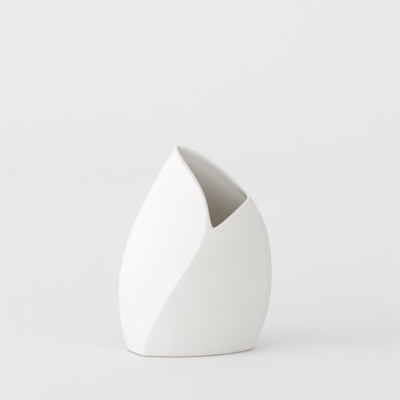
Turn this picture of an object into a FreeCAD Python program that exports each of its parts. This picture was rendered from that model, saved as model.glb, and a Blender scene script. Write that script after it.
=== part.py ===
"""One-piece cast porcelain flower vase: a flattened bud with a soft fold and a slanted mouth.

Millimetres, +Z up. The origin is on the resting plane, under the middle of the vase. +X runs along
its wide side. -Y is its front, where the fold climbs from the lower left to the tip of the mouth.
"""

import FreeCAD
import Part
import math
import os

import Sketcher

Vector = FreeCAD.Vector
UP = Vector(0, 0, 1)

# --- driving dimensions ------------------------------------------------------------------------

DIMENSIONS = {
    "base_edge": 1.4,
    "floor_height": 5.0,
    "inner_corner": 3.5,
    "foot_width": 6.6,
    "foot_recess": 1.5,
    "foot_edge": 0.7,
    "glaze": 0.4,
    "glaze_drop": 6.0,
    "cut_reach": 36.0,
    "cut_height": 110.0,
}

# The outer shape, level by level. A level's outline is three small arcs (left end, fold and right
# end) joined by three large ones (left face, right face and back). Each x, y is where a small arc
# stands out furthest: leftmost, rightmost or foremost. The wall thins a little towards the tip.
LEVEL_COLUMNS = (
    "level_z", "left_x", "left_y", "left_radius", "right_x", "right_y", "right_radius",
    "fold_x", "fold_y", "fold_radius", "left_face", "right_face", "back_face", "wall",
)
LEVELS = (
    (0, -66.2, 2, 15, 56.4, 4, 10, -45.5, -30.5, 8.0, 120, 105, 110, 3.6),
    (25, -72.2, 1, 18, 67.4, 4, 14, -40.8, -36.5, 6.5, 160, 125, 104, 3.6),
    (50, -74.8, 1, 20, 73.2, 4, 17, -29.6, -41.0, 5.5, 190, 140, 100, 3.6),
    (75, -73.6, 1, 20, 75.0, 4, 18, -15.4, -43.5, 5.0, 200, 140, 99, 3.6),
    (100, -68.2, 2, 19, 73.4, 3, 18, 0.2, -43.5, 5.0, 200, 130, 93, 3.6),
    (125, -59.8, 3, 17, 67.8, 2, 17, 9.8, -40.0, 5.0, 200, 110, 85, 3.6),
    (150, -47.6, 4, 14, 54.8, 1, 15, 8.5, -31.5, 5.0, 200, 100, 76, 3.6),
    (175, -34.2, 6, 10, 37.0, 1, 12, -3.5, -17.0, 4.6, 200, 100, 66, 3.3),
    (200, -18.6, 8, 6, 17.0, 2, 9, -15.5, 0.5, 4.2, 200, 100, 60, 2.6),
    (210, -12.0, 8.5, 5, 9.0, 2.5, 8, -10.5, 3.0, 4.2, 200, 100, 58, 2.4),
)

# The rim runs over level lines that cross the wall roughly square to it. A line starts inside the
# vase at x, y and runs outwards along its bearing, in degrees from +X, at height z.
LINE_COLUMNS = ("x", "y", "bearing", "z")
NOTCH_LINE = (15.4, -18.3, -84, 125.6)
END_LINE = (34.4, 0.3, 9, 156.2)
TIP_LINE = (-8.0, 4.0, 180, 201.5)
RIM_LINES = {
    "lip": (
        NOTCH_LINE,
        (14.0, -17.8, -88, 133.5),
        (12.6, -14.8, -94, 148.4),
        (9.4, -9.6, -108, 163.8),
        (3.2, -3.6, -128, 178.3),
        (-5.1, 2.8, -150, 192.2),
        (-8.0, 4.0, -180, 201.5),
    ),
    "front": (
        NOTCH_LINE,
        (22.3, -17.5, -66, 132.3),
        (29.0, -7.6, -47, 141.8),
        (32.8, -3.3, -25, 148.3),
        (34.3, -1.8, -7, 152.2),
        END_LINE,
    ),
    "rear": (
        END_LINE,
        (34.0, 1.4, 20, 159.3),
        (31.2, 2.4, 38, 166.2),
        (23.3, 3.9, 64, 178.1),
        (13.6, 4.7, 71, 185.6),
        (2.6, 5.2, 77, 192.9),
        (-3.0, 5.2, 92, 197.0),
        (-6.5, 5.0, 135, 200.0),
        TIP_LINE,
    ),
}

# The middle of the mouth, between the starts of the level lines, is cleared by a straight prism.
CORE_POINTS = (
    (14, -22), (25, -20), (32, -10), (37, -3), (36, 2), (30, 5), (-2, 7), (-9, 5), (-9, 2), (3, -5),
    (10, -13),
)
CORE_BOTTOM = 150

doc = FreeCAD.newDocument("flower_vase")
sheet = doc.addObject("Spreadsheet::Sheet", "Dims")


def fill_sheet():
    """Give every driving dimension a cell with an alias; a table's aliases end in their row."""
    entries = list(DIMENSIONS.items())
    for index, level in enumerate(LEVELS):
        entries += [(f"{name}_{index}", value) for name, value in zip(LEVEL_COLUMNS, level)]
    for group, lines in RIM_LINES.items():
        for index, line in enumerate(lines):
            entries += [(f"{group}_{name}_{index}", value) for name, value in zip(LINE_COLUMNS, line)]
    for row, (name, value) in enumerate(entries, start=1):
        sheet.set(f"A{row}", name)
        sheet.set(f"B{row}", str(value))
        sheet.setAlias(f"B{row}", name)
    doc.recompute()


def value_of(rule):
    """What a rule written with sheet cells comes to."""
    sheet.set("D1", "=" + rule.replace("Dims.", ""))
    sheet.recompute()
    return float(sheet.get("D1"))


# --- outlines ----------------------------------------------------------------------------------

SMALL_ARCS = ("left", "fold", "right")
LARGE_ARCS = ("back_face", "left_face", "right_face")


def small_arc(name, index, inset):
    """Centre and radius of a level's small arc, moved in by inset."""
    x, y, radius = (getattr(sheet, f"{name}_{part}_{index}") for part in ("x", "y", "radius"))
    inwards = {"left": Vector(radius, 0, 0), "fold": Vector(0, radius, 0), "right": Vector(-radius, 0, 0)}
    return Vector(x, y, 0) + inwards[name], radius - inset


def large_arc_centre(start, end, radius):
    """Centre of the large arc that two small arcs touch from inside."""
    (first, first_radius), (second, second_radius) = start, end
    along = second - first
    distance = along.Length
    along.normalize()
    first_reach = radius - first_radius
    second_reach = radius - second_radius
    offset = (first_reach**2 - second_reach**2 + distance**2) / (2 * distance)
    height = math.sqrt(first_reach**2 - offset**2)
    return first + along * offset + Vector(-along.y, along.x, 0) * height


def outline_arcs(index, inset):
    """A level's arcs, counter-clockwise: centre, radius, and the directions of start and end."""
    ends = [small_arc(name, index, inset) for name in SMALL_ARCS]
    starts = ends[-1:] + ends[:-1]
    radii = [getattr(sheet, f"{name}_{index}") - inset for name in LARGE_ARCS]
    centres = [large_arc_centre(*arc) for arc in zip(starts, ends, radii)]
    arcs = []
    for position, (corner, corner_radius) in enumerate(ends):
        centre = centres[position]
        following = centres[(position + 1) % 3]
        arcs.append((centre, radii[position], starts[position][0] - centre, corner - centre))
        arcs.append((corner, corner_radius, corner - centre, corner - following))
    return arcs


def bearing(direction):
    return math.atan2(direction.y, direction.x)


def constrain(sketch, constraint, rule):
    number = sketch.addConstraint(constraint)
    sketch.setExpression(f"Constraints[{number}]", rule)


def constrain_small_arc(sketch, arc, name, index, inset):
    """Tie a small arc's centre and radius to its level's cells."""
    x, y, radius = (f"Dims.{name}_{part}_{index}" for part in ("x", "y", "radius"))
    centre_rules = {
        "left": (f"{x} + {radius}", y),
        "fold": (x, f"{y} + {radius}"),
        "right": (f"{x} - {radius}", y),
    }
    circle = sketch.Geometry[arc]
    values = (circle.Center.x, circle.Center.y)
    for kind, value, rule in zip(("DistanceX", "DistanceY"), values, centre_rules[name]):
        constrain(sketch, Sketcher.Constraint(kind, -1, 1, arc, 3, value), rule)
    constrain(sketch, Sketcher.Constraint("Radius", arc, circle.Radius), f"{radius} - ({inset})")


def add_outline(body, label, index, inset, height):
    """Sketch one level's outline in a body; inset and height are rules for the sheet."""
    sketch = body.newObject("Sketcher::SketchObject", label)
    plane = next(feature for feature in body.Origin.OriginFeatures if feature.Role == "XY_Plane")
    sketch.AttachmentSupport = [(plane, "")]
    sketch.MapMode = "FlatFace"
    sketch.setExpression("AttachmentOffset.Base.z", height)
    for centre, radius, start, end in outline_arcs(index, value_of(inset)):
        circle = Part.Circle(centre, UP, radius)
        sketch.addGeometry(Part.ArcOfCircle(circle, bearing(start), bearing(end)), False)
    for arc in range(6):
        sketch.addConstraint(Sketcher.Constraint("Tangent", arc, 2, (arc + 1) % 6, 1))
    for position, (large, small) in enumerate(zip(LARGE_ARCS, SMALL_ARCS)):
        arc = 2 * position
        radius = Sketcher.Constraint("Radius", arc, sketch.Geometry[arc].Radius)
        constrain(sketch, radius, f"Dims.{large}_{index} - ({inset})")
        constrain_small_arc(sketch, arc + 1, small, index, inset)
    return sketch


# --- bodies ------------------------------------------------------------------------------------

EDGE_TURNS = (0, 22.5, 45, 67.5, 90)


def add_loft(body, label, outlines):
    """Loft through outlines given as level, inset and height, from the bottom up."""
    sketches = [add_outline(body, f"{label}{i}", *outline) for i, outline in enumerate(outlines)]
    doc.recompute()
    loft = body.newObject("PartDesign::AdditiveLoft", label)
    loft.Profile = sketches[0]
    loft.Sections = [(sketch, [""]) for sketch in sketches[1:]]
    loft.Ruled = False
    doc.recompute()


def closed_bud(label, inset, bottom, corner):
    """A closed bud through all the levels, with its bottom edge rounded.

    inset is the rule for how far a level is moved in, with {} in place of the level's number.
    """
    body = doc.addObject("PartDesign::Body", label)
    heights = [f"{bottom} + {corner}"] + [f"Dims.level_z_{index}" for index in range(1, len(LEVELS))]
    outlines = [(index, inset.format(index), height) for index, height in enumerate(heights)]
    add_loft(body, f"{label}Wall", outlines)
    rounding = []
    for turn in EDGE_TURNS:
        pulled_in = f"{inset.format(0)} + {corner} * (1 - sin({turn} deg))"
        rounding.append((0, pulled_in, f"{bottom} + {corner} * (1 - cos({turn} deg))"))
    add_loft(body, f"{label}Edge", rounding)
    return body


def add_foot_recess(body):
    """Sink the underside inside its standing ring, and round the ring's inner edge."""
    sketch = add_outline(body, "FootOutline", 0, "Dims.foot_width", "0")
    doc.recompute()
    pocket = body.newObject("PartDesign::Pocket", "FootRecess")
    pocket.Profile = sketch
    pocket.Reversed = True
    pocket.setExpression("Length", "Dims.foot_recess")
    doc.recompute()
    ring = min(pocket.Shape.Faces, key=lambda face: face.BoundBox.ZMax)
    inner = min(ring.Wires, key=lambda wire: wire.BoundBox.XLength)
    edges = enumerate(pocket.Shape.Edges, start=1)
    names = [f"Edge{number}" for number, edge in edges if any(edge.isSame(e) for e in inner.Edges)]
    fillet = body.newObject("PartDesign::Fillet", "FootEdge")
    fillet.Base = (pocket, names)
    fillet.setExpression("Radius", "Dims.foot_edge")


# --- mouth -------------------------------------------------------------------------------------

def level_line(group, index):
    """One level line of the rim, laid along X, then turned to its bearing and lifted."""
    line = doc.addObject("Part::Line", f"{group.title()}Line{index}")
    line.Y2 = line.Z2 = 0
    line.setExpression("X2", "Dims.cut_reach")
    line.Placement = FreeCAD.Placement(Vector(), FreeCAD.Rotation(UP, 1))
    line.setExpression("Placement.Rotation.Angle", f"Dims.{group}_bearing_{index}")
    for axis in "xyz":
        line.setExpression(f"Placement.Base.{axis}", f"Dims.{group}_{axis}_{index}")
    return line


def raise_up(label, base):
    """Everything straight above a surface or an outline, up to past the top of the bud."""
    rise = doc.addObject("Part::Extrusion", label)
    rise.Base = base
    rise.DirMode = "Custom"
    rise.Dir = UP
    rise.Solid = True
    rise.setExpression("LengthFwd", "Dims.cut_height")
    return rise


def rim_cut(group):
    surface = doc.addObject("Part::Loft", f"{group.title()}Surface")
    surface.Sections = [level_line(group, index) for index in range(len(RIM_LINES[group]))]
    surface.Solid = False
    surface.Ruled = False
    return raise_up(f"{group.title()}Cut", surface)


def core_cut():
    outline = doc.addObject("Part::Polygon", "CoreOutline")
    outline.Nodes = [Vector(x, y, CORE_BOTTOM) for x, y in CORE_POINTS]
    outline.Close = True
    return raise_up("CoreCut", outline)


def cut_mouth():
    mouth = doc.addObject("Part::MultiFuse", "Mouth")
    mouth.Shapes = [rim_cut(group) for group in RIM_LINES] + [core_cut()]
    return mouth


def lowered_mouth(mouth):
    """The same cut, lower by the bare band that the glaze leaves under the lip."""
    lowered = doc.addObject("Part::Compound", "GlazeMouth")
    lowered.Links = [mouth]
    lowered.setExpression("Placement.Base.z", "-Dims.glaze_drop")
    return lowered


# --- pieces ------------------------------------------------------------------------------------

def subtract(label, base, tool):
    cut = doc.addObject("Part::Cut", label)
    cut.Label = label
    cut.Base = base
    cut.Tool = tool
    return cut


def make_pieces():
    """The cast body, and the glaze that lines it."""
    outside = closed_bud("Outside", "0", "0", "Dims.base_edge")
    add_foot_recess(outside)
    cavity = closed_bud("Cavity", "Dims.wall_{}", "Dims.floor_height", "Dims.inner_corner")
    water = closed_bud(
        "Water",
        "(Dims.wall_{} + Dims.glaze)",
        "(Dims.floor_height + Dims.glaze)",
        "(Dims.inner_corner - Dims.glaze)",
    )
    mouth = cut_mouth()
    cast_body = subtract("cast_body", subtract("HollowBud", outside, cavity), mouth)
    inner_glaze = subtract("inner_glaze", subtract("ClosedGlaze", cavity, water), lowered_mouth(mouth))
    for piece in (cast_body, inner_glaze):
        piece.Placement = FreeCAD.Placement()
    doc.recompute()
    return cast_body, inner_glaze


def check_document(pieces):
    for item in doc.Objects:
        if {"Invalid", "Error"} & set(item.State):
            raise RuntimeError(f"{item.Name} failed: {item.State}")
    for piece in pieces:
        if piece.Shape.isNull() or not piece.Shape.isValid() or len(piece.Shape.Solids) != 1:
            raise RuntimeError(f"{piece.Label} is not one valid solid")


def write_pieces(pieces):
    os.makedirs("parts", exist_ok=True)
    for piece in pieces:
        piece.Shape.exportStep(os.path.join("parts", f"{piece.Label}.step"))
        print(piece.Label, round(piece.Shape.Volume / 1000, 1), "cm3")


fill_sheet()
vase = make_pieces()
check_document(vase)
write_pieces(vase)
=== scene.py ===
"""Looks of the one-piece cast porcelain vase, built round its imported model.

The body's levels are the ones the model is lofted through; the rim is read from the model itself.
Shapes are worked out in millimetres and turned into metres when a mesh is made.
"""

import math

import bmesh
import bpy
import numpy as np
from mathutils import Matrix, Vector
from mathutils.bvhtree import BVHTree


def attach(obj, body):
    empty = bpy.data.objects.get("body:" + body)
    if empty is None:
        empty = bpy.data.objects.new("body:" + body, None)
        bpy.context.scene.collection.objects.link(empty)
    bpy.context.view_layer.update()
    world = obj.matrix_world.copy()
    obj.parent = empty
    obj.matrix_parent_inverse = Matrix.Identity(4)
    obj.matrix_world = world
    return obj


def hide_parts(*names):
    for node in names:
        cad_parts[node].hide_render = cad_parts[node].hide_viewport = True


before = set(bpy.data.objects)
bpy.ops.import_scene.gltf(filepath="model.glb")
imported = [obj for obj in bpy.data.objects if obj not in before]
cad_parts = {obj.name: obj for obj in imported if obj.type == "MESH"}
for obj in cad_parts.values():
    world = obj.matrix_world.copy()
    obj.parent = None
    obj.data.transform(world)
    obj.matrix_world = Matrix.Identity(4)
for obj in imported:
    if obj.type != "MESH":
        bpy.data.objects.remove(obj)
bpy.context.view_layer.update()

MILLIMETRE = 0.001

# --- the vase's own dimensions, in millimetres -----------------------------------------------------

# The rounded bottom edge, the floor inside and its rounded corner.
BASE_EDGE = 1.4
FLOOR_HEIGHT = 5.0
INNER_CORNER = 3.5

# The standing ring, the rounded edge inside it, and the recess that it surrounds.
FOOT_WIDTH = 6.6
FOOT_EDGE = 0.7
RECESS = 1.5
RECESS_CORNER = 0.5

# The glaze's thickness, how far under the lip it starts, how deep its hidden back lies in the wall,
# and the height over which its edge thins out.
GLAZE = 0.4
GLAZE_DROP = 6.0
GLAZE_BED = 0.05
GLAZE_FEATHER = 9.0

# Depth under the lip where the glaze's painted shade is deepest; heights where the foot's painted contact
# shadow fades.
PAINTED_SHADE_DEPTH = 70.0
CONTACT_SHADE_HEIGHT = (0.6, 1.6)

# How far the lip is rounded over outside and inside, as shares of its width, and how far down the
# inner wall that reaches, along its branches: notch to right end, right end to tip, tip to notch.
LIP_ROUNDING = ((0.15, 0.70, 1.20), (0.18, 0.70, 1.50), (0.42, 0.35, 0.35))

# Height, then x, y and radius of the left, right and fold arcs, then the radii of the left, right
# and back faces, then the wall's thickness.
LEVELS = np.array([
    (0, -66.2, 2, 15, 56.4, 4, 10, -45.5, -30.5, 8.0, 120, 105, 110, 3.6),
    (25, -72.2, 1, 18, 67.4, 4, 14, -40.8, -36.5, 6.5, 160, 125, 104, 3.6),
    (50, -74.8, 1, 20, 73.2, 4, 17, -29.6, -41.0, 5.5, 190, 140, 100, 3.6),
    (75, -73.6, 1, 20, 75.0, 4, 18, -15.4, -43.5, 5.0, 200, 140, 99, 3.6),
    (100, -68.2, 2, 19, 73.4, 3, 18, 0.2, -43.5, 5.0, 200, 130, 93, 3.6),
    (125, -59.8, 3, 17, 67.8, 2, 17, 9.8, -40.0, 5.0, 200, 110, 85, 3.6),
    (150, -47.6, 4, 14, 54.8, 1, 15, 8.5, -31.5, 5.0, 200, 100, 76, 3.6),
    (175, -34.2, 6, 10, 37.0, 1, 12, -3.5, -17.0, 4.6, 200, 100, 66, 3.3),
    (200, -18.6, 8, 6, 17.0, 2, 9, -15.5, 0.5, 4.2, 200, 100, 60, 2.6),
    (210, -12.0, 8.5, 5, 9.0, 2.5, 8, -10.5, 3.0, 4.2, 200, 100, 58, 2.4),
], float)

BASE_WALL = LEVELS[0, -1]

# --- how finely the meshes are made ----------------------------------------------------------------

COLUMNS = 360
WALL_ROWS = 104
LIP_ROWS = (5, 8)
FOOT_INSETS = (5.0, 4.0, 3.0, 2.1)
DISC_SHARES = (0.93, 0.84, 0.72, 0.58, 0.42, 0.25, 0.1)

# The columns lean over towards the rim's corners as they rise, from the middle of the right-hand
# end's arc and the front of the left-hand end's arc, both as places round the skin at one level.
LEAN = 2.0
RIGHT_END, LEFT_END = 5.5, 8.0
SPREAD_LEVEL = 60.0
SPREAD_SOFTNESS = 6

# Lines lowered from the rim: the step in millimetres, and the columns beside the tip that are cut.
LOWERING_STEP = 0.25
MITRE_REACH = 30
PARALLEL = 1e-12
LIP_SOFTNESS = 8

# --- how the model is read -------------------------------------------------------------------------

# Heights between which a skin's first face is looked for, and above which its rim lies.
SAME_POINT = 1e-6
CREASE = math.radians(30)
MIDDLE = (40, 90)
RIM_FLOOR = 110

# The rims are resampled, softened and matched; counts and softnesses are in samples or columns.
RIM_SAMPLES = 1440
RIM_SOFTNESS = 1.0
MATCH_REACH = RIM_SAMPLES // 12
MATCH_SOFTNESS = 8
LEAST_STEP = 1.6

# Heights between which the drawing onto the model's skin fades out.
SETTLE_TOP = (100.0, 125.0)
SETTLE_SOFTNESS = 4


# --- section surfaces ------------------------------------------------------------------------------

class Bud:
    """One lofted skin of the bud: a point for each place t round it (0 to 6) and height z.

    It lies so many wall thicknesses and so much extra inside the outer skin, from its lowest level up.
    """

    def __init__(self, walls, extra, lowest):
        self.walls = walls
        self.extra = extra
        self.lowest = lowest
        heights = LEVELS[:, 0].copy()
        heights[0] = lowest
        self.heights = heights
        gaps = np.diff(heights)
        count = len(heights)
        system = np.eye(count)
        right = np.zeros((count, LEVELS.shape[1] - 1))
        slopes = np.diff(LEVELS[:, 1:], axis=0) / gaps[:, None]
        for i in range(1, count - 1):
            system[i, i - 1:i + 2] = gaps[i - 1], 2 * (gaps[i - 1] + gaps[i]), gaps[i]
            right[i] = 6 * (slopes[i] - slopes[i - 1])
        self.bends = np.linalg.solve(system, right)

    def level(self, z):
        """The values of LEVELS at height z, on natural cubic splines through them."""
        z = np.asarray(z, float)
        i = np.clip(np.searchsorted(self.heights, z) - 1, 0, len(self.heights) - 2)
        low, high = self.heights[i], self.heights[i + 1]
        gap = (high - low)[..., None]
        a = (high - z)[..., None] / gap
        b = (z - low)[..., None] / gap
        values = a * LEVELS[i, 1:] + b * LEVELS[i + 1, 1:]
        return values + ((a**3 - a) * self.bends[i] + (b**3 - b) * self.bends[i + 1]) * gap**2 / 6

    def arcs(self, z, inset=None):
        """The six arcs round the skin at height z: centre, radius, first bearing and turn."""
        (
            left_x, left_y, left_radius, right_x, right_y, right_radius, fold_x, fold_y, fold_radius,
            left_face, right_face, back_face, wall,
        ) = np.moveaxis(self.level(np.maximum(z, self.lowest)), -1, 0)
        if inset is None:
            inset = self.walls * wall + self.extra
        left = np.stack([left_x + left_radius, left_y]), left_radius
        right = np.stack([right_x - right_radius, right_y]), right_radius
        fold = np.stack([fold_x, fold_y + fold_radius]), fold_radius
        ends = left, fold, right
        starts = right, left, fold
        radii = back_face, left_face, right_face
        centres = [large_centre(*s, *e, r) for s, e, r in zip(starts, ends, radii)]
        out = []
        for k in range(3):
            corner, corner_radius = ends[k]
            for centre, radius, first, last in (
                (centres[k], radii[k], starts[k][0] - centres[k], corner - centres[k]),
                (corner, corner_radius, corner - centres[k], corner - centres[(k + 1) % 3]),
            ):
                begin = np.arctan2(first[1], first[0])
                turn = np.mod(np.arctan2(last[1], last[0]) - begin, 2 * np.pi)
                out.append((centre, radius - inset, begin, turn))
        return out

    def point(self, t, z, inset=None):
        """The points at places t and heights z."""
        t, z = np.broadcast_arrays(np.asarray(t, float), np.asarray(z, float))
        place = np.mod(t, 6)
        segment = np.minimum(np.floor(place).astype(int), 5)
        out = np.zeros(t.shape + (3,))
        out[..., 2] = z
        for k, (centre, radius, begin, turn) in enumerate(self.arcs(z, inset)):
            angle = begin + turn * (place - segment)
            here = segment == k
            out[..., 0] += here * (centre[0] + radius * np.cos(angle))
            out[..., 1] += here * (centre[1] + radius * np.sin(angle))
        return out

    def foot_row(self, base, inset, z):
        """The skin's lowest outline, one point for every column, set in and moved to height z."""
        row = self.point(self.unshare(base, self.lowest), self.lowest, inset)
        row[:, 2] = z
        return row

    def run(self, z):
        """Distance round the skin from t = 0 to t = 0, 1, ... 6, as shares of the whole way."""
        lengths = np.stack([radius * turn for _, radius, _, turn in self.arcs(z)])
        total = np.concatenate([np.zeros((1,) + lengths.shape[1:]), np.cumsum(lengths, axis=0)])
        return total / total[-1]

    def share(self, t, z):
        """How far round the skin t is, from the crest of the fold, as a share of the whole way."""
        t, z = np.broadcast_arrays(np.asarray(t, float), np.asarray(z, float))
        run = self.run(z)
        turns, place = np.divmod(t, 6)
        segment = np.minimum(np.floor(place).astype(int), 5)
        low = np.take_along_axis(run, segment[None], 0)[0]
        high = np.take_along_axis(run, segment[None] + 1, 0)[0]
        return turns + low + (high - low) * (place - segment) - (run[3] + run[4]) / 2

    def unshare(self, share, z):
        """The t that lies a given share of the way round from the crest of the fold."""
        share, z = np.broadcast_arrays(np.asarray(share, float), np.asarray(z, float))
        run = self.run(z)
        turns, place = np.divmod(share + (run[3] + run[4]) / 2, 1)
        segment = (place[None] >= run[1:6]).sum(0)
        low = np.take_along_axis(run, segment[None], 0)[0]
        high = np.take_along_axis(run, segment[None] + 1, 0)[0]
        return 6 * turns + segment + (place - low) / (high - low)

    def at(self, share, z):
        """The points a given share of the way round at heights z."""
        return self.point(self.unshare(share, z), z)

    def slopes(self, share, z):
        """How a point moves per whole way round and per millimetre of height."""
        step, lift = 1e-4, 1e-2
        around = (self.at(share + step, z) - self.at(share - step, z)) / (2 * step)
        up = (self.at(share, z + lift) - self.at(share, z - lift)) / (2 * lift)
        return around, up

    def place(self, points):
        """The shares of points that lie on the skin."""
        z = points[:, 2:3]
        best = np.zeros((len(points), 1))
        spread, samples = 0.5, 900
        for _ in range(4):
            share = best + np.linspace(-spread, spread, samples)[None, :]
            off = np.linalg.norm(self.at(share, z)[..., :2] - points[:, None, :2], axis=-1)
            best = np.take_along_axis(share, off.argmin(1)[:, None], 1)
            spread, samples = spread * 0.04, 60
        return best[:, 0]


def large_centre(first, first_radius, second, second_radius, radius):
    """Centre of the large arc that two small arcs touch from inside."""
    along = second - first
    distance = np.sqrt((along**2).sum(0))
    along = along / distance
    reach_1, reach_2 = radius - first_radius, radius - second_radius
    offset = (reach_1**2 - reach_2**2 + distance**2) / (2 * distance)
    height = np.sqrt(reach_1**2 - offset**2)
    return first + along * offset + np.stack([-along[1], along[0]]) * height


OUTSIDE = Bud(0, 0.0, BASE_EDGE)
CAVITY = Bud(1, 0.0, FLOOR_HEIGHT + INNER_CORNER)


# --- the rim, read from the model ------------------------------------------------------------------

def model_mesh():
    """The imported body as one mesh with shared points."""
    mesh = bmesh.new()
    mesh.from_mesh(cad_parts["cast_body"].data)
    bmesh.ops.remove_doubles(mesh, verts=mesh.verts, dist=SAME_POINT)
    mesh.faces.ensure_lookup_table()
    mesh.faces.index_update()
    return mesh


def skin_from(seed):
    """All faces that a face reaches without crossing a crease."""
    found, waiting = {seed}, [seed]
    while waiting:
        face = waiting.pop()
        for edge in face.edges:
            if len(edge.link_faces) == 2 and edge.calc_face_angle() < CREASE:
                for other in edge.link_faces:
                    if other not in found:
                        found.add(other)
                        waiting.append(other)
    return found


def rim_of(skin):
    """The closed line where a skin ends at the mouth, as points in millimetres."""
    following = {}
    for face in skin:
        for loop in face.loops:
            edge = loop.edge
            if edge.calc_length() > 0 and min(v.co.z for v in edge.verts) > RIM_FLOOR * MILLIMETRE:
                if any(other not in skin for other in edge.link_faces):
                    following[loop.vert] = loop.link_loop_next.vert
    start = min(following, key=lambda vert: vert.co.z)
    line, vert = [start], following[start]
    while vert is not start:
        line.append(vert)
        vert = following[vert]
    return np.array([vert.co for vert in line]) / MILLIMETRE


def read_model():
    """The model's outer skin as a search tree, and its outer and inner rim."""
    mesh = model_mesh()
    low, high = MIDDLE
    centres = {face: face.calc_center_median() for face in mesh.faces}
    middle = [face for face in mesh.faces if low < centres[face].z / MILLIMETRE < high]
    outer = skin_from(max(middle, key=lambda face: centres[face].x))
    inner = skin_from(max((face for face in middle if face not in outer), key=lambda face: centres[face].x))
    lines = rim_of(outer), rim_of(inner)
    corners = [[vert.co.copy() for vert in face.verts] for face in outer]
    numbers = np.cumsum([0] + [len(points) for points in corners])
    tree = BVHTree.FromPolygons(
        [point for points in corners for point in points],
        [range(first, last) for first, last in zip(numbers, numbers[1:])],
    )
    mesh.free()
    return tree, *lines


# --- rows of points --------------------------------------------------------------------------------

def smooth_ring(values, width):
    """Average along a closed line of evenly spaced rows; width is the spread in rows."""
    reach = int(3 * width) + 1
    steps = np.arange(-reach, reach + 1)
    weights = np.exp(-steps**2 / (2 * width**2))
    weights /= weights.sum()
    return sum(w * np.roll(values, -s, axis=0) for w, s in zip(weights, steps))


def even_ring(points, count):
    """Evenly spaced points along a closed line."""
    closed = np.vstack([points, points[:1]])
    lengths = np.concatenate([[0], np.cumsum(np.linalg.norm(np.diff(closed, axis=0), axis=1))])
    places = np.linspace(0, lengths[-1], count, endpoint=False)
    return np.column_stack([np.interp(places, lengths, closed[:, k]) for k in range(3)])


def unit(vectors):
    """Vectors made one long."""
    return vectors / np.linalg.norm(vectors, axis=-1, keepdims=True)


def crossing(first, second):
    """How far along each of two flat line pieces they cross, as shares, or None."""
    ends = np.column_stack([first[1] - first[0], second[0] - second[1]])
    if abs(np.linalg.det(ends)) < PARALLEL:
        return None
    shares = np.linalg.solve(ends, second[0] - first[0])
    return shares if shares.min() >= 0 and shares.max() <= 1 else None


class Rim:
    """A rim line on a skin: its points, their shares, and the line moved down into the wall."""

    def __init__(self, skin, points):
        self.skin = skin
        self.share = np.unwrap(skin.place(points), period=1)
        self.z = points[:, 2]
        self.points = skin.at(self.share, self.z)
        self.along = unit(np.roll(self.points, -1, axis=0) - np.roll(self.points, 1, axis=0))

    def lowered(self, drop):
        """Share and height of the line moved square to itself, down over the skin."""
        share, z = self.share.copy(), self.z.copy()
        pieces = max(1, round(np.max(drop) / LOWERING_STEP))
        for _ in range(pieces):
            around, up = self.skin.slopes(share, z)
            step = unit(np.cross(self.along, unit(np.cross(around, up))))
            step = step * np.reshape(drop, (-1, 1)) / pieces
            aa, au, uu = ((p * q).sum(-1) for p, q in ((around, around), (around, up), (up, up)))
            ra, ru = (around * step).sum(-1), (up * step).sum(-1)
            spread = aa * uu - au**2
            share = share + (ra * uu - ru * au) / spread
            z = z + (ru * aa - ra * au) / spread
        return self.mitred(share, z)

    def mitred(self, share, z):
        """A lowered line whose sides cross under the tip, cut at the crossing and spread out again."""
        tip = int(self.z.argmax())
        line = np.column_stack([share, z])
        for left in range(tip - MITRE_REACH, tip):
            for right in range(tip + MITRE_REACH, tip, -1):
                cut = crossing(line[left:left + 2], line[right:right + 2])
                if cut is not None:
                    return self.cut_out(line, tip, left + cut[0], right + cut[1])
        return share, z

    def cut_out(self, line, tip, left, right):
        """Share and height of a line without the loop between two places on both sides of the tip."""
        columns = np.arange(COLUMNS)
        near, far, last = tip - MITRE_REACH, tip + MITRE_REACH, COLUMNS - 1
        before = np.interp(columns, [0, near, tip], [0, near, left])
        after = np.interp(columns, [tip, far, last], [right, far, last])
        source = np.where(columns <= tip, before, after)
        return np.interp(source, columns, line[:, 0]), np.interp(source, columns, line[:, 1])


def matched_rims(outer_line, inner_line):
    """The outer and inner rim with one point each for every column, from the notch round by the right."""
    outer_line = np.roll(outer_line[::-1], 1, axis=0)
    outer = even_ring(outer_line, RIM_SAMPLES)
    inner = even_ring(inner_line, RIM_SAMPLES)
    spacing = np.linalg.norm(outer[1] - outer[0])
    outer = smooth_ring(outer, RIM_SOFTNESS / spacing)
    inner = smooth_ring(inner, RIM_SOFTNESS / spacing)
    outer = even_ring(outer, COLUMNS)
    share = np.arange(COLUMNS) / COLUMNS
    window = np.arange(-MATCH_REACH, MATCH_REACH)
    guess = np.round(share * RIM_SAMPLES).astype(int)
    near = np.mod(guess[:, None] + window, RIM_SAMPLES)
    gaps = np.linalg.norm(inner[near] - outer[:, None], axis=-1)
    place = guess + smooth_ring(window[gaps.argmin(1)].astype(float), MATCH_SOFTNESS)
    steps = np.maximum(np.diff(np.append(place, place[0] + RIM_SAMPLES)), LEAST_STEP)
    place = place[0] + np.concatenate([[0], np.cumsum(steps)[:-1]]) * RIM_SAMPLES / steps.sum()
    low = np.floor(place).astype(int)
    part = (place - low)[:, None]
    inner = inner[np.mod(low, RIM_SAMPLES)] * (1 - part) + inner[np.mod(low + 1, RIM_SAMPLES)] * part
    return Rim(OUTSIDE, outer), Rim(CAVITY, inner)


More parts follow.
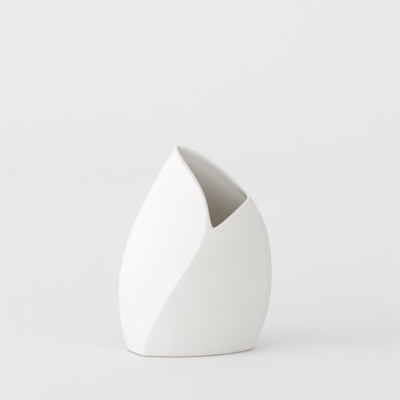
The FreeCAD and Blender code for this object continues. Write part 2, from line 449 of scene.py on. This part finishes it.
def base_shares(rim):
    """Where each column starts at the bottom: spread out evenly between the rim's corners."""
    notch, vertex, tip = 0, int(rim.points[:, 0].argmax()), int(rim.z.argmax())
    right_end = float(rim.skin.share(RIGHT_END, SPREAD_LEVEL))
    left_end = float(rim.skin.share(LEFT_END, SPREAD_LEVEL))
    start = rim.share[notch]
    turn = round(start)
    columns = np.arange(COLUMNS)
    spread = np.interp(
        columns, [notch, vertex, tip, COLUMNS], [start, right_end + turn, left_end + turn, start + 1]
    )
    even = columns / COLUMNS
    return even + smooth_ring(spread - even, SPREAD_SOFTNESS)


def quarter(first, corner, last, steps):
    """Points of a round quarter from first to last, both left out."""
    rows = []
    for s in np.linspace(0, 1, steps + 2)[1:-1]:
        a, b, c = (1 - s) ** 2, 2 * s * (1 - s) * math.sqrt(0.5), s**2
        rows.append((a * first + b * corner + c * last) / (a + b + c))
    return rows


def wall_rows(skin, base, top, top_z, rows):
    """Rows from the skin's lowest level up to a line near its rim; base and top are shares."""
    out = []
    for s in np.linspace(0, 1, rows):
        z = skin.lowest + (top_z - skin.lowest) * s
        out.append(skin.at(base + (top - base) * s**LEAN, z))
    return out


def shrunk(row, share):
    """A row drawn in level towards its middle."""
    middle = row.mean(0)
    out = middle + (row - middle) * share
    out[:, 2] = row[:, 2]
    return out


def lip_rounding(rim, across):
    """How far the lip is rounded over outside, inside and down the inner wall, for every column."""
    branch = np.searchsorted([rim.points[:, 0].argmax(), rim.z.argmax()], np.arange(COLUMNS))
    shares = smooth_ring(np.array(LIP_ROUNDING)[branch], LIP_SOFTNESS)
    return (shares * np.linalg.norm(across, axis=1, keepdims=True)).T


def settled(rows):
    """Wall rows drawn onto the model's own outer skin, fading out towards the mouth."""
    grid = np.array(rows)
    nearest = [OUTER_SKIN.find_nearest(Vector(p) * MILLIMETRE)[0] for p in grid.reshape(-1, 3)]
    off = np.array(nearest).reshape(grid.shape) / MILLIMETRE - grid
    low, high = SETTLE_TOP
    off *= np.clip((high - grid[..., 2:]) / (high - low), 0, 1)
    off = smooth_ring(off.swapaxes(0, 1), SETTLE_SOFTNESS).swapaxes(0, 1)
    padding = 6 * SETTLE_SOFTNESS
    padded = np.concatenate([-off[padding:0:-1], off, off[-1:].repeat(padding, 0)])
    off = smooth_ring(padded, SETTLE_SOFTNESS)[padding:-padding]
    return list(grid + off)


def body_rows(outer, inner, base):
    """All rows of the cast body, from the middle of its underside round over the lip to its floor."""
    recess = OUTSIDE.foot_row(base, FOOT_WIDTH, RECESS)
    rows = [shrunk(recess, s) for s in DISC_SHARES[::-1]]
    for turn in (0, 30, 60, 90):
        a = math.radians(turn)
        inset = FOOT_WIDTH + RECESS_CORNER * (1 - math.sin(a))
        rows.append(OUTSIDE.foot_row(base, inset, RECESS - RECESS_CORNER * (1 - math.cos(a))))
    for turn in (0, 22.5, 45, 67.5, 90):
        a = math.radians(turn)
        inset = FOOT_WIDTH - FOOT_EDGE * (1 - math.cos(a))
        rows.append(OUTSIDE.foot_row(base, inset, FOOT_EDGE * (1 - math.sin(a))))
    for inset in FOOT_INSETS:
        rows.append(OUTSIDE.foot_row(base, inset, 0.0))
    for turn in (0, 15, 30, 45, 60, 75):
        a = math.radians(turn)
        inset = BASE_EDGE * (1 - math.sin(a))
        rows.append(OUTSIDE.foot_row(base, inset, BASE_EDGE * (1 - math.cos(a))))

    across = inner.points - outer.points
    outside, inside, down = lip_rounding(outer, across)
    rows += settled(wall_rows(OUTSIDE, base, *outer.lowered(outside), WALL_ROWS))
    across = unit(across)
    flat_start = outer.points + across * outside[:, None]
    flat_end = inner.points - across * inside[:, None]
    rows += quarter(rows[-1], outer.points, flat_start, LIP_ROWS[0])
    rows += [flat_start, (flat_start + flat_end) / 2, flat_end]
    cavity = wall_rows(CAVITY, base, *inner.lowered(down), WALL_ROWS)
    rows += quarter(flat_end, inner.points, cavity[-1], LIP_ROWS[1])
    rows += cavity[::-1]

    for turn in (15, 30, 45, 60, 75, 90):
        a = math.radians(turn)
        inset = BASE_WALL + INNER_CORNER * (1 - math.cos(a))
        rows.append(CAVITY.foot_row(base, inset, FLOOR_HEIGHT + INNER_CORNER * (1 - math.sin(a))))
    rows += [shrunk(rows[-1], s) for s in DISC_SHARES]
    return rows


def glaze_rows(inner, base):
    """All rows of the glaze: its hidden back against the wall, its feathered edge and its face."""
    back = Bud(1, -GLAZE_BED, CAVITY.lowest)
    sunk = Bud(1, -GLAZE_BED / 2, CAVITY.lowest)
    face = Bud(1, GLAZE, CAVITY.lowest)
    edge = inner.lowered(GLAZE_DROP)

    def corner(inset, floor, radius):
        rows = []
        for turn in (90, 75, 60, 45, 30, 15):
            a = math.radians(turn)
            height = floor + radius * (1 - math.sin(a))
            rows.append(CAVITY.foot_row(base, inset + radius * (1 - math.cos(a)), height))
        return rows

    behind = corner(BASE_WALL - GLAZE_BED, FLOOR_HEIGHT - GLAZE_BED, INNER_CORNER + GLAZE_BED)
    rows = [shrunk(behind[0], s) for s in DISC_SHARES[::-1]] + behind
    rows += wall_rows(back, base, *edge, WALL_ROWS // 2)[:-1]
    crease = len(rows)
    rows.append(sunk.at(*edge))
    face_rows = wall_rows(face, base, *edge, WALL_ROWS)
    feather = np.linspace(0, 1, WALL_ROWS)[::-1] * np.mean(edge[1])
    for row, below in zip(face_rows[::-1][1:], feather[::-1][1:]):
        if below < GLAZE_FEATHER:
            share = (1 - math.cos(math.pi * below / GLAZE_FEATHER)) / 2
            near = sunk.at(sunk.place(row), row[:, 2])
            row = near + (row - near) * share
        rows.append(row)
    front = corner(BASE_WALL + GLAZE, FLOOR_HEIGHT + GLAZE, INNER_CORNER - GLAZE)[::-1]
    rows += front + [shrunk(front[-1], s) for s in DISC_SHARES]
    return rows, crease


def closed_mesh(name, rows, lip_heights, crease=None):
    """A closed mesh through rows of points, each end gathered to a point in its middle.

    Its points keep how deep they lie under the lip of their own column. The row numbered crease
    is left as a sharp edge.
    """
    mesh = bmesh.new()
    ends = [mesh.verts.new(Vector(row.mean(0)) * MILLIMETRE) for row in (rows[0], rows[-1])]
    lines = [[mesh.verts.new(Vector(point) * MILLIMETRE) for point in row] for row in rows]
    for low, high in zip(lines, lines[1:]):
        for j, vert in enumerate(low):
            k = (j + 1) % COLUMNS
            mesh.faces.new((vert, low[k], high[k], high[j]))
    for j in range(COLUMNS):
        k = (j + 1) % COLUMNS
        mesh.faces.new((ends[0], lines[0][k], lines[0][j]))
        mesh.faces.new((ends[1], lines[-1][j], lines[-1][k]))
    for face in mesh.faces:
        face.smooth = True
    if crease is not None:
        for j, vert in enumerate(lines[crease]):
            mesh.edges.get((vert, lines[crease][j - 1])).smooth = False
    data = bpy.data.meshes.new(name)
    mesh.to_mesh(data)
    mesh.free()
    depth = data.attributes.new("depth", "FLOAT", "POINT")
    below = [lip_heights.mean() - row[:, 2].mean() for row in (rows[0], rows[-1])]
    below += [drop for row in rows for drop in lip_heights - row[:, 2]]
    depth.data.foreach_set("value", np.array(below) * MILLIMETRE)
    piece = bpy.data.objects.new(name, data)
    bpy.context.scene.collection.objects.link(piece)
    return piece


# --- materials -------------------------------------------------------------------------------------

def new_material(name):
    """A new material with its nodes, links and shader."""
    material = bpy.data.materials.new(name)
    material.use_nodes = True
    nodes = material.node_tree.nodes
    links = material.node_tree.links
    return material, nodes, links, nodes["Principled BSDF"]


def noise(nodes, links, coordinates, scale, detail, roughness=0.5):
    """The output of a noise texture."""
    node = nodes.new("ShaderNodeTexNoise")
    node.inputs["Scale"].default_value = scale
    node.inputs["Detail"].default_value = detail
    node.inputs["Roughness"].default_value = roughness
    links.new(coordinates, node.inputs["Vector"])
    return node.outputs["Fac"]


def ramp(nodes, links, value, stops):
    """A value turned into colours that change between the given stops."""
    node = nodes.new("ShaderNodeValToRGB")
    elements = node.color_ramp.elements
    while len(elements) < len(stops):
        elements.new(0.5)
    for element, (place, colour) in zip(elements, stops):
        element.position = place
        element.color = (*colour, 1)
    links.new(value, node.inputs["Fac"])
    return node.outputs["Color"]


def porcelain_material():
    """Unglazed white porcelain: matte, finely grained, faintly clouded, with a painted contact shadow at
    the foot.
    """
    material, nodes, links, shader = new_material("matte_porcelain")
    place = nodes.new("ShaderNodeTexCoord").outputs["Object"]
    clouds = noise(nodes, links, place, 28, 3)
    clay = ramp(nodes, links, clouds, [(0.3, (0.865, 0.858, 0.842)), (0.7, (0.885, 0.88, 0.866))])
    # Painted contact shadow: the colour is dark brown in the lowest 0.6 mm and fades back to clay by 1.6
    # mm.
    split = nodes.new("ShaderNodeSeparateXYZ")
    links.new(place, split.inputs["Vector"])
    foot = nodes.new("ShaderNodeMapRange")
    foot.inputs["From Min"].default_value = CONTACT_SHADE_HEIGHT[0] * MILLIMETRE
    foot.inputs["From Max"].default_value = CONTACT_SHADE_HEIGHT[1] * MILLIMETRE
    links.new(split.outputs["Z"], foot.inputs["Value"])
    tint = nodes.new("ShaderNodeMix")
    tint.data_type = "RGBA"
    painted_contact_shade, unshaded_clay = tint.inputs[6], tint.inputs[7]
    painted_contact_shade.default_value = (0.58, 0.50, 0.42, 1)
    links.new(foot.outputs["Result"], tint.inputs["Factor"])
    links.new(clay, unshaded_clay)
    links.new(tint.outputs[2], shader.inputs["Base Color"])
    grain = noise(nodes, links, place, 1400, 3, 0.6)
    links.new(
        ramp(nodes, links, grain, [(0.3, (0.52,) * 3), (0.7, (0.66,) * 3)]),
        shader.inputs["Roughness"],
    )
    bump = nodes.new("ShaderNodeBump")
    bump.inputs["Strength"].default_value = 0.12
    bump.inputs["Distance"].default_value = 0.0004
    links.new(grain, bump.inputs["Height"])
    links.new(bump.outputs["Normal"], shader.inputs["Normal"])
    shader.inputs["Specular IOR Level"].default_value = 0.35
    return material


def glaze_material():
    """Clear satin glaze over the clay: clay-coloured at its edge under the lip, with painted shade that
    turns it warmer and darker deeper down.
    """
    material, nodes, links, shader = new_material("satin_glaze")
    place = nodes.new("ShaderNodeTexCoord").outputs["Object"]
    depth = nodes.new("ShaderNodeAttribute")
    depth.attribute_name = "depth"
    share = nodes.new("ShaderNodeMapRange")
    share.inputs["From Min"].default_value = GLAZE_DROP * MILLIMETRE
    share.inputs["From Max"].default_value = PAINTED_SHADE_DEPTH * MILLIMETRE
    links.new(depth.outputs["Fac"], share.inputs["Value"])
    # Painted shade: the glaze turns warmer and darker the deeper it lies under the lip, down to 70 mm.
    links.new(
        ramp(nodes, links, share.outputs["Result"], [
            (0.0, (0.88, 0.872, 0.854)),
            (0.05, (0.97, 0.955, 0.93)),
            (0.5, (0.97, 0.935, 0.87)),
            (1.0, (0.93, 0.84, 0.70)),
        ]),
        shader.inputs["Base Color"],
    )
    links.new(
        ramp(nodes, links, share.outputs["Result"], [(0.0, (0.59,) * 3), (0.3, (0.4,) * 3)]),
        shader.inputs["Roughness"],
    )
    shader.inputs["Specular IOR Level"].default_value = 0.4
    orange_peel = noise(nodes, links, place, 260, 2)
    bump = nodes.new("ShaderNodeBump")
    bump.inputs["Strength"].default_value = 0.1
    bump.inputs["Distance"].default_value = 0.0006
    links.new(orange_peel, bump.inputs["Height"])
    links.new(bump.outputs["Normal"], shader.inputs["Normal"])
    return material


def stage_material():
    """Matte, pale studio paper."""
    material, nodes, links, shader = new_material("studio_sweep")
    shader.inputs["Base Color"].default_value = (0.872, 0.876, 0.894, 1)
    shader.inputs["Roughness"].default_value = 0.9
    shader.inputs["Specular IOR Level"].default_value = 0.1
    return material


# --- the vase --------------------------------------------------------------------------------------

OUTER_SKIN, *lines = read_model()
outer_rim, inner_rim = matched_rims(*lines)
starts = base_shares(outer_rim)
vase = closed_mesh("vase_body", body_rows(outer_rim, inner_rim, starts), inner_rim.z)
coat, coat_edge = glaze_rows(inner_rim, starts)
lining = closed_mesh("glaze_lining", coat, inner_rim.z, coat_edge)
vase.data.materials.append(porcelain_material())
lining.data.materials.append(glaze_material())
for piece, node, slot in ((vase, "cast_body", "porcelain"), (lining, "inner_glaze", "glaze")):
    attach(piece, "root")
    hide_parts(node)


# --- studio ----------------------------------------------------------------------------------------

def sweep():
    """A floor that runs up into a backdrop without a line between them."""
    half_width, front, bend, radius, top = 4.0, -4.0, 1.6, 1.2, 3.2
    profile = [(front, 0.0), (bend, 0.0)]
    for turn in range(5, 91, 5):
        a = math.radians(turn)
        profile.append((bend + radius * math.sin(a), radius * (1 - math.cos(a))))
    profile.append((bend + radius, top))
    mesh = bmesh.new()
    lines = [[mesh.verts.new((x, y, z)) for x in (-half_width, half_width)] for y, z in profile]
    for low, high in zip(lines, lines[1:]):
        mesh.faces.new((low[0], low[1], high[1], high[0])).smooth = True
    data = bpy.data.meshes.new("sweep")
    mesh.to_mesh(data)
    mesh.free()
    backdrop = bpy.data.objects.new("sweep", data)
    bpy.context.scene.collection.objects.link(backdrop)
    backdrop.data.materials.append(stage_material())


def area_light(name, place, aim, size, power, colour=(1, 1, 1)):
    """A soft rectangular light at a place, turned towards its aim."""
    light = bpy.data.lights.new(name, "AREA")
    light.shape = "RECTANGLE"
    light.size, light.size_y = size
    light.energy = power
    light.color = colour
    lamp = bpy.data.objects.new(name, light)
    lamp.location = place
    lamp.rotation_euler = (Vector(aim) - Vector(place)).to_track_quat("-Z", "Y").to_euler()
    bpy.context.scene.collection.objects.link(lamp)


sweep()
area_light("key", (-2.65, -1.1, 1.25), (0, 0, 0.1), (1.9, 2.2), 31, (0.88, 0.91, 1.0))
area_light("front", (-1.3, -2.3, 1.0), (0, 0, 0.1), (1.6, 1.4), 9)
area_light("top", (0.3, -0.6, 2.6), (0, 0, 0.1), (2.0, 2.0), 8, (0.88, 0.9, 1.0))
area_light("backdrop_light", (0, 1.0, 1.9), (0, 2.8, 0.3), (3.0, 1.0), 9, (0.92, 0.92, 1.0))

world = bpy.data.worlds.new("studio")
world.use_nodes = True
world.node_tree.nodes["Background"].inputs["Color"].default_value = (1.0, 0.975, 0.92, 1)
world.node_tree.nodes["Background"].inputs["Strength"].default_value = 0.64
bpy.context.scene.world = world
bpy.context.scene.view_settings.view_transform = "Standard"

PITCH = math.radians(7)
DISTANCE = 1.6
AIM = Vector((0.004815, 0, 0.14835))
SENSOR = 36
LENS = 148.41
lens = bpy.data.cameras.new("camera")
lens.sensor_width = SENSOR
lens.lens = LENS
camera = bpy.data.objects.new("camera", lens)
camera.location = AIM + DISTANCE * Vector((0, -math.cos(PITCH), math.sin(PITCH)))
camera.rotation_euler = (math.radians(90) - PITCH, 0, 0)
bpy.context.scene.collection.objects.link(camera)
bpy.context.scene.camera = camera
